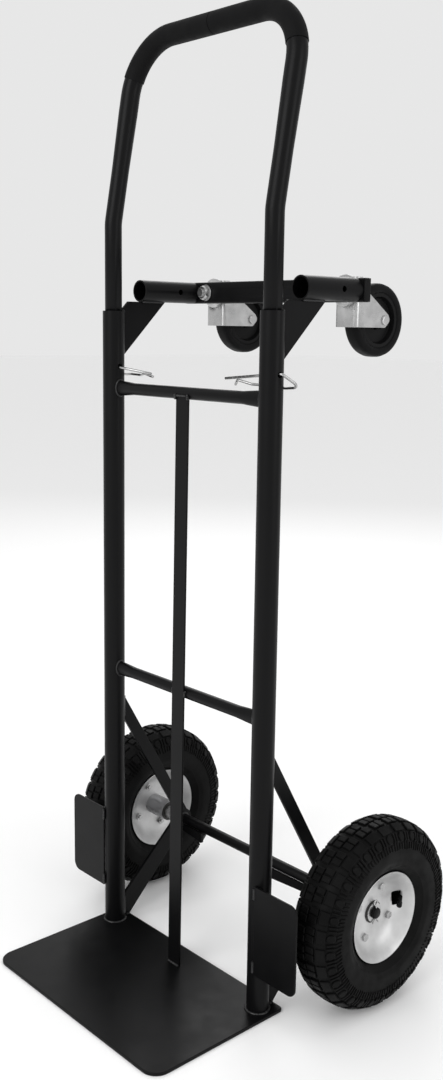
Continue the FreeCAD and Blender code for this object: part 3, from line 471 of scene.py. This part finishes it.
class HANDTRUCK_OT_welds(bpy.types.Operator):
    """Lays the weld beads of the frame"""
    bl_idname = "handtruck.welds"
    bl_label = "Welds"

    seat = 0.0006               # how far a bead's line stands off the steel it lies on
    touch = 0.0002              # the same for a bead in a corner
    crushed_half = 0.0068       # half the thickness of a crossbar's crushed end
    stitch = 0.018              # length of each weld on a guard
    guard_back = 0.0115         # from the rail's axis out to the guard's rear weld
    brace_face = 0.0035         # from a brace's middle to the weld along its face
    brace_foot = 0.034          # height of the weld up the rail at a brace's foot
    gusset_face = 0.003
    strap_back = -0.0096        # where the strap meets the middle crossbar
    strap_top = -0.0092

    def execute(self, context):
        bm = bmesh.new()
        for _, side in SIDES:
            self.rail_foot(bm, side)
            self.crossbar_ends(bm, side)
            self.guard(bm, side)
            self.braces(bm, side)
            self.socket(bm, side)
        self.strap(bm)
        add_piece("frame_welds", bm, "coated_weld", "frame", smooth_angle=60)
        return {"FINISHED"}

    def seam(self, bm, start, end, share=1.0):
        """A straight bead, as wide as a share of the usual weld."""
        bead(bm, line_path(start, end), sizes().weld_radius * share)

    def loop(self, bm, point_at, count, share=1.0):
        """A closed bead through the points at evenly spaced angles."""
        bead(bm, ring_path(point_at, count), sizes().weld_radius * share, closed=True)

    def rail_foot(self, bm, side):
        reach = RAIL_RADIUS + 0.0004
        self.loop(bm, lambda a: (side * RAIL_X + reach * math.cos(a), reach * math.sin(a),
                                 PLATE_TOP + self.seat), 120)

    def crossbar_ends(self, bm, side):
        for node in ("upper_crossbar", "middle_crossbar"):
            height = self.middle_height(node)
            half_tall = half_size(node, "z") + self.seat

            def on_rail(angle):
                y = self.crushed_half * math.cos(angle)
                out = math.sqrt((RAIL_RADIUS + 0.0003) ** 2 - y * y)
                return side * (RAIL_X - out), y, height + half_tall * math.sin(angle)

            self.loop(bm, on_rail, 110, 0.72)

    def middle_height(self, node):
        low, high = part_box(node)
        return (low.z + high.z) / 2

    def guard(self, bm, side):
        low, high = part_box("wheel_guard_right")
        front = (side * (low.x - self.touch), low.y + self.seat)
        back = (side * (RAIL_X + self.guard_back), high.y + 0.0032)
        for start in (low.z + 0.002, high.z - 0.020):
            for x, y in (front, back):
                self.seam(bm, (x, y, start), (x, y, start + self.stitch))

    def braces(self, bm, side):
        brace_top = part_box("upper_brace_right")[1].z
        plate_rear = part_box("toe_plate")[1].y
        y = RAIL_RADIUS + self.touch
        reach = AXLE_RADIUS + self.seat
        for face in (-1, 1):
            x = side * RAIL_X + face * self.brace_face
            self.seam(bm, (x, y, brace_top - 0.036), (x, y, brace_top - 0.002))
            self.seam(bm, (x, y, PLATE_TOP + 0.003), (x, y, PLATE_TOP + self.brace_foot))
            self.seam(bm, (x, RAIL_RADIUS + 0.003, PLATE_TOP + self.seat),
                      (x, plate_rear - 0.002, PLATE_TOP + self.seat))
            self.loop(bm, lambda a: (x - face * 0.0004, WHEEL_CENTRE.y + reach * math.cos(a),
                                     WHEEL_CENTRE.z + reach * math.sin(a)), 70, 0.8)

    def socket(self, bm, side):
        low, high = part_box("socket_gusset_right")
        socket_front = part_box("handle_socket_right")[0].y
        for face in (-1, 1):
            x = side * RAIL_X + face * self.gusset_face
            self.seam(bm, (x, low.y + self.touch, low.z + 0.004),
                      (x, low.y + self.touch, high.z - 0.012), 0.9)
            self.seam(bm, (x, socket_front + 0.002, high.z + 0.0001),
                      (x, high.y - 0.006, high.z + 0.0001), 0.9)

    def strap(self, bm):
        low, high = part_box("centre_strap")
        bar = self.middle_height("middle_crossbar")
        self.seam(bm, (low.x + 0.001, low.y - self.touch, PLATE_TOP + 0.0004),
                  (high.x - 0.001, low.y - self.touch, PLATE_TOP + 0.0004))
        for side in (-1, 1):
            x = side * (high.x + self.touch)
            self.seam(bm, (x, self.strap_back, bar - 0.005), (x, self.strap_back, bar + 0.005), 0.9)
            self.seam(bm, (x, -0.0088, high.z - 0.005), (x, self.strap_top, high.z + 0.003))
        self.seam(bm, (low.x + 0.002, self.strap_top, high.z + self.seat),
                  (high.x - 0.002, self.strap_top, high.z + self.seat), 0.7)


class HANDTRUCK_OT_axle(bpy.types.Operator):
    """Dresses the axle with its spacers, washers and cotter pins"""
    bl_idname = "handtruck.axle"
    bl_label = "Axle"

    def execute(self, context):
        dress("axle", "powder_coat")
        dress("axle_spacers", "zinc_plate", sizes().edge_round * 0.5)
        dress("axle_washers", "zinc_plate", sizes().edge_round * 0.5)
        dress("cotter_pins", "zinc_plate", smooth_angle=50)
        return {"FINISHED"}


Lug = namedtuple("Lug", "along across length width share is_round lean", defaults=(False, 0.0))


class HANDTRUCK_OT_tyres(bpy.types.Operator):
    """Builds both knobbly tyres and dresses their tubes and valve caps"""
    bl_idname = "handtruck.tyres"
    bl_label = "Tyres"

    wall = 0.006
    crown_wall = 0.007
    side_gap = 0.0012           # from the carcass's side out to the CAD tyre's
    section_low = 0.0875        # radius at which the sidewalls are widest
    power = 2.9                 # squareness of the section
    bead_line = [(0.0262, 0.0684), (0.0236, 0.0655), (0.0190, 0.0616), (0.0150, 0.0585)]
    bead_inside = [(0.0138, 0.0592), (0.0158, 0.0655)]
    rim_guard = [(0.985, 0.0835), (0.93, 0.0790), (0.925, 0.0772), (0.87, 0.0752), (0.80, 0.0722)]
    lug_root = 0.0007           # how deep a lug sits in the carcass
    lug_bevel = 0.0009
    stagger = 0.06              # offset of the two sides, in pitches

    def section(self, half, outer, steps=14):
        """Outline across a tyre, from one side over the crown to the other."""
        points = []
        for step in range(-steps, steps + 1):
            turn = math.pi / 2 * step / steps
            out = half * math.copysign(abs(math.sin(turn)) ** (2 / self.power), turn)
            rise = max(math.cos(turn), 0) ** (2 / self.power)
            points.append((out, self.section_low + (outer - self.section_low) * rise))
        return points

    def carcass(self, bm, centre):
        """Shell of a tyre with a rim guard and bead."""
        half = TYRE_HALF - self.side_gap
        crown = WHEEL_RADIUS - sizes().lug_height
        outside = self.section(half, crown)
        inside = self.section(half - self.wall, crown - self.crown_wall)
        side = [(half * share, radius) for share, radius in self.rim_guard] + self.bead_line
        far = [(-out, radius) for out, radius in side[::-1]]
        far_inside = [(-out, radius) for out, radius in self.bead_inside[::-1]]
        profile_ring(bm, far + outside + side + self.bead_inside + inside[::-1] + far_inside,
                     centre, 112)

    def surface(self, across):
        """Point and outward direction of the tread surface at a distance across from the crown."""
        outline = self.section(TYRE_HALF - self.side_gap, WHEEL_RADIUS - sizes().lug_height, 60)[60:]
        side = math.copysign(1, across)
        left = abs(across)
        for first, second in zip(outline, outline[1:]):
            step = Vector(second) - Vector(first)
            if left <= step.length:
                break
            left -= step.length
        point = Vector(first) + step.normalized() * left
        normal = Vector((-step.y, step.x)).normalized()
        return side * point.x, point.y, side * normal.x, normal.y

    def lug(self, bm, centre, along, across, length, width, height, round_lug=False, lean=0.0):
        """One lug: a flat pad with softened edges, bent onto the tread surface."""
        flat = bmesh.new()
        if round_lug:
            bmesh.ops.create_cone(flat, cap_ends=True, segments=14, radius1=length / 2,
                                  radius2=length / 2 - 0.0006, depth=height)
        else:
            bmesh.ops.create_cube(flat, size=1)
            bmesh.ops.scale(flat, vec=(length, width, height), verts=flat.verts)
            long_edges = [e for e in flat.edges if abs(e.verts[0].co.x - e.verts[1].co.x) > length / 2]
            bmesh.ops.subdivide_edges(flat, edges=long_edges, cuts=1, use_grid_fill=True)
        rim = [e for e in flat.edges if min(v.co.z for v in e.verts) > height * 0.4
               and len(e.link_faces) == 2 and e.calc_face_angle() > 0.5]
        bmesh.ops.bevel(flat, geom=rim, offset=min(self.lug_bevel, height * 0.4), offset_type="OFFSET",
                        segments=1, profile=0.5, affect="EDGES", material=-1)
        for vert in flat.verts:
            u = vert.co.x + along + vert.co.y * lean
            out, radius, normal_out, normal_radius = self.surface(across + vert.co.y)
            lift = vert.co.z + height / 2 - self.lug_root
            turn = u / WHEEL_RADIUS
            reach = radius + normal_radius * lift
            vert.co = centre + Vector((out + normal_out * lift, reach * math.sin(turn),
                                       reach * math.cos(turn)))
        copy = bpy.data.meshes.new("lug")
        flat.to_mesh(copy)
        flat.free()
        bm.from_mesh(copy)
        bpy.data.meshes.remove(copy)

    def pattern(self, pitch):
        """The lugs of one pitch on one side of the crown."""
        lugs = [
            Lug(-0.20 * pitch, 0.0078, 0.34 * pitch, 0.0128, 1.0),
            Lug(0.20 * pitch, 0.0078, 0.34 * pitch, 0.0128, 1.0),
            Lug(0.02 * pitch, 0.0232, 0.70 * pitch, 0.0122, 1.0),
            Lug(0.0, 0.0372, 0.0135, 0.0135, 0.92, is_round=True),
        ]
        for rib in (-1, 1):
            lugs += [
                Lug(0.5 * pitch + rib * 0.0030, 0.0372, 0.0040, 0.0120, 0.85),
                Lug(rib * 0.0032, 0.0500, 0.0042, 0.0090, 0.6, lean=0.2),
                Lug(0.5 * pitch + rib * 0.0034, 0.0490, 0.0032, 0.0130, 0.6, lean=0.2),
            ]
        return lugs

    def tread(self, bm, centre, phase):
        """All lugs of a tyre: one pitch of the pattern, repeated round the wheel."""
        count = sizes().tread_pitches
        pitch = 2 * math.pi * WHEEL_RADIUS / count
        height = sizes().lug_height + 0.0005
        before = set(bm.verts)
        for side in (-1, 1):
            for lug in self.pattern(pitch):
                self.lug(bm, centre, side * self.stagger * pitch + lug.along, side * lug.across,
                         lug.length, lug.width, height * lug.share, lug.is_round, side * lug.lean)
        lugs = [v for v in bm.verts if v not in before]
        faces = list({f for v in lugs for f in v.link_faces})
        edges = list({e for v in lugs for e in v.link_edges})
        bmesh.ops.rotate(bm, verts=lugs, cent=centre, matrix=Matrix.Rotation(phase, 3, "X"))
        bmesh.ops.spin(bm, geom=lugs + edges + faces, cent=centre, axis=(1, 0, 0),
                       angle=2 * math.pi * (count - 1) / count, steps=count - 1, use_merge=False,
                       use_duplicate=True)

    def execute(self, context):
        for name, side in SIDES:
            centre = Vector((side * WHEEL_CENTRE.x, WHEEL_CENTRE.y, WHEEL_CENTRE.z))
            bm = bmesh.new()
            self.carcass(bm, centre)
            self.tread(bm, centre, 0.05 * side)
            add_piece("tyre_tread_" + name, bm, "tread_rubber", "wheel_" + name,
                      ["tyre_" + name], smooth_angle=38)
            dress("inner_tube_" + name, "tread_rubber", smooth_angle=50)
            dress("valve_cap_" + name, "moulded_black")
        return {"FINISHED"}


class HANDTRUCK_OT_rims(bpy.types.Operator):
    """Builds the pressed rims and dresses the hubs, bearings and bolts"""
    bl_idname = "handtruck.rims"
    bl_label = "Rims and hubs"

    dish = [(0.0035, 0.0165), (0.0035, 0.0300), (0.0042, 0.0380), (0.0068, 0.0450), (0.0112, 0.0508),
            (0.0165, 0.0556), (0.0215, 0.0596), (0.0252, 0.0630), (0.0268, 0.0650)]
    lip = [(0.02725, 0.0652), (0.02700, 0.0656), (0.0262, 0.0656)]
    back = [(0.0244, 0.0637), (0.0206, 0.0604), (0.0156, 0.0566), (0.0102, 0.0520), (0.0056, 0.0462),
            (0.0026, 0.0388), (0.0018, 0.0300), (0.0018, 0.0165)]
    window_depth = 0.05
    window_width = 0.0125
    window_height = 0.0225
    window_corner = 0.0025
    window_radius = 0.0465      # from the axle to the window's middle
    window_out = 0.012

    def rim(self, bm, centre, face):
        """One pressed half: a dish that sweeps out to a rolled flange."""
        outline = rounded(self.dish, 3) + self.lip + self.back
        profile_ring(bm, [(face * out, radius) for out, radius in outline], centre, 120)

    def cut_window(self, made, name, centre):
        """Cuts the window that the valve stem stands in."""
        cap = centre_of("valve_cap_" + name)
        away = Vector((0, cap.y - centre.y, cap.z - centre.z)).normalized()
        bm = bmesh.new()
        bmesh.ops.create_cube(bm, size=1)
        bmesh.ops.scale(bm, vec=(self.window_depth, self.window_width, self.window_height),
                        verts=bm.verts)
        through = [e for e in bm.edges
                   if abs(e.verts[0].co.x - e.verts[1].co.x) > self.window_depth / 2]
        bmesh.ops.bevel(bm, geom=through, offset=self.window_corner, offset_type="OFFSET",
                        segments=4, profile=0.5, affect="EDGES", material=-1)
        out = Vector((math.copysign(self.window_out, centre.x), 0, 0))
        place = centre + away * self.window_radius + out
        turn = Matrix.Rotation(math.atan2(away.z, away.y), 4, "X")
        bmesh.ops.transform(bm, matrix=Matrix.Translation(place) @ turn, verts=bm.verts)
        cutter = to_object("window_cutter", bm, "rim_paint")
        cut = made.modifiers.new("window", "BOOLEAN")
        cut.operation = "DIFFERENCE"
        cut.object = cutter
        cut.solver = "EXACT"
        bpy.context.view_layer.update()
        seen = made.evaluated_get(bpy.context.evaluated_depsgraph_get())
        settled = bpy.data.meshes.new_from_object(seen)
        made.modifiers.clear()
        made.data = settled
        bpy.data.objects.remove(cutter)

    def execute(self, context):
        for name, side in SIDES:
            centre = Vector((side * WHEEL_CENTRE.x, WHEEL_CENTRE.y, WHEEL_CENTRE.z))
            for node, face in (("rim_outer_", side), ("rim_inner_", -side)):
                bm = bmesh.new()
                self.rim(bm, centre, face)
                made = add_piece("pressed_" + node + name, bm, "rim_paint", "wheel_" + name,
                                 [node + name], smooth_angle=40)
                if face == side:
                    self.cut_window(made, name, centre)
            dress("hub_" + name, "ball_steel", sizes().edge_round)
            # the bearings get a dark finish that paints in the shade of the hub's recess
            dress("wheel_bearings_" + name, "shaded_bearing_steel", sizes().edge_round * 0.5)
            dress("rim_bolts_" + name, "spring_wire", sizes().edge_round * 0.5)
        return {"FINISHED"}


class HANDTRUCK_OT_casters(bpy.types.Operator):
    """Dresses the casters: stems, races, balls, forks, wheels and their axles"""
    bl_idname = "handtruck.casters"
    bl_label = "Casters"

    def execute(self, context):
        edge = sizes().edge_round
        dress("stem_washers", "zinc_plate", edge * 0.5)
        dress("stem_nuts", "zinc_plate", edge * 0.5)
        for name, _ in SIDES:
            dress("caster_stem_" + name, "zinc_plate", edge * 0.5)
            dress("caster_race_" + name, "zinc_plate", smooth_angle=40)
            dress("swivel_balls_" + name, "ball_steel", smooth_angle=60)
            dress("caster_fork_" + name, "zinc_plate", edge * 0.8)
            dress("caster_axle_" + name, "zinc_plate")
            dress("caster_core_" + name, "moulded_black", edge * 0.8)
            dress("caster_tread_" + name, "roller_rubber", smooth_angle=50)
        return {"FINISHED"}


class HANDTRUCK_OT_handle(bpy.types.Operator):
    """Dresses the bent handle and its two grips"""
    bl_idname = "handtruck.handle"
    bl_label = "Handle"

    def execute(self, context):
        dress("handle_tube", "powder_coat", smooth_angle=50)
        for name, _ in SIDES:
            dress("grip_" + name, "dipped_vinyl", sizes().edge_round * 0.5, smooth_angle=50)
        return {"FINISHED"}


class HANDTRUCK_OT_hitch_pins(bpy.types.Operator):
    """Dresses the two spring wire hitch pins"""
    bl_idname = "handtruck.hitch_pins"
    bl_label = "Hitch pins"

    def execute(self, context):
        for name, _ in SIDES:
            dress("hitch_pin_" + name, "spring_wire", smooth_angle=60)
        return {"FINISHED"}


class HANDTRUCK_OT_stage(bpy.types.Operator):
    """Sets the floor, the lights and the camera"""
    bl_idname = "handtruck.stage"
    bl_label = "Stage"

    floor_reach = 30
    sky_strength = 0.80
    camera_at = (1.2033, -1.0286, 0.9445)
    camera_turn = (47.612, 10.488, 0.841)       # azimuth, elevation and roll, in degrees
    lens = 38.04
    sensor = 36

    def floor(self):
        bm = bmesh.new()
        bmesh.ops.create_grid(bm, x_segments=1, y_segments=1, size=self.floor_reach)
        to_object("floor", bm, "pale_floor")

    def light(self, name, place, target, width, height, power):
        data = bpy.data.lights.new(name, "AREA")
        data.shape = "RECTANGLE"
        data.size = width
        data.size_y = height
        data.energy = power
        lamp = bpy.data.objects.new(name, data)
        bpy.context.scene.collection.objects.link(lamp)
        aim = Vector(target) - Vector(place)
        turn = aim.to_track_quat("-Z", "Y").to_matrix().to_4x4()
        lamp.matrix_world = Matrix.Translation(place) @ turn

    def sky(self):
        world = bpy.data.worlds.new("soft_white")
        world.use_nodes = True
        background = world.node_tree.nodes["Background"]
        background.inputs["Color"].default_value = (1, 1, 1, 1)
        background.inputs["Strength"].default_value = self.sky_strength
        bpy.context.scene.world = world
        bpy.context.scene.view_settings.view_transform = "Standard"

    def camera(self):
        azimuth, elevation, roll = (math.radians(angle) for angle in self.camera_turn)
        right = Vector((math.cos(azimuth), math.sin(azimuth), 0))
        view = Vector((-math.sin(azimuth) * math.cos(elevation),
                       math.cos(azimuth) * math.cos(elevation), -math.sin(elevation)))
        up = right.cross(view)
        turned_right = right * math.cos(roll) + up * math.sin(roll)
        turned_up = up * math.cos(roll) - right * math.sin(roll)
        data = bpy.data.cameras.new("camera")
        data.sensor_fit = "VERTICAL"
        data.sensor_height = self.sensor
        data.lens = self.lens
        viewer = bpy.data.objects.new("camera", data)
        bpy.context.scene.collection.objects.link(viewer)
        axes = Matrix((turned_right, turned_up, -view)).transposed().to_4x4()
        viewer.matrix_world = Matrix.Translation(self.camera_at) @ axes
        bpy.context.scene.camera = viewer

    def execute(self, context):
        settings = stage_settings()
        self.floor()
        self.sky()
        self.light("key", (0.3, -3.4, 2.4), (0, 0, 0.7), 2.4, 2.4, settings.key_power)
        self.light("side", (3.4, 0.6, 1.8), (0, 0, 0.6), 1.6, 2.6, settings.fill_power)
        self.light("back", (-2.2, 2.6, 2.6), (0, 0, 0.7), 2.0, 2.0, settings.fill_power)
        self.camera()
        return {"FINISHED"}


class HANDTRUCK_PT_panel(bpy.types.Panel):
    """Lists the hand truck's settings and pieces"""
    bl_idname = "HANDTRUCK_PT_panel"
    bl_label = "Hand truck"
    bl_space_type = "VIEW_3D"
    bl_region_type = "UI"
    bl_category = "Hand truck"

    def draw(self, context):
        for group in (finishes(), sizes(), stage_settings()):
            box = self.layout.box()
            for name in group.__annotations__:
                box.prop(group, name)
        for operator in OPERATORS:
            self.layout.operator(operator.bl_idname)


GROUPS = (HandTruckFinishes, HandTruckSizes, HandTruckStage)
OPERATORS = (
    HANDTRUCK_OT_tubes, HANDTRUCK_OT_plates, HANDTRUCK_OT_welds, HANDTRUCK_OT_axle, HANDTRUCK_OT_tyres,
    HANDTRUCK_OT_rims, HANDTRUCK_OT_casters, HANDTRUCK_OT_handle, HANDTRUCK_OT_hitch_pins,
    HANDTRUCK_OT_stage,
)


def register():
    for kind in GROUPS + OPERATORS + (HANDTRUCK_PT_panel,):
        bpy.utils.register_class(kind)
    bpy.types.Scene.hand_truck_finishes = bpy.props.PointerProperty(type=HandTruckFinishes)
    bpy.types.Scene.hand_truck_sizes = bpy.props.PointerProperty(type=HandTruckSizes)
    bpy.types.Scene.hand_truck_stage = bpy.props.PointerProperty(type=HandTruckStage)


def unregister():
    del bpy.types.Scene.hand_truck_stage
    del bpy.types.Scene.hand_truck_sizes
    del bpy.types.Scene.hand_truck_finishes
    for kind in reversed(GROUPS + OPERATORS + (HANDTRUCK_PT_panel,)):
        bpy.utils.unregister_class(kind)


def main():
    register()
    for operator in OPERATORS:
        group, name = operator.bl_idname.split(".")
        getattr(getattr(bpy.ops, group), name)()


if __name__ == "__main__":
    main()
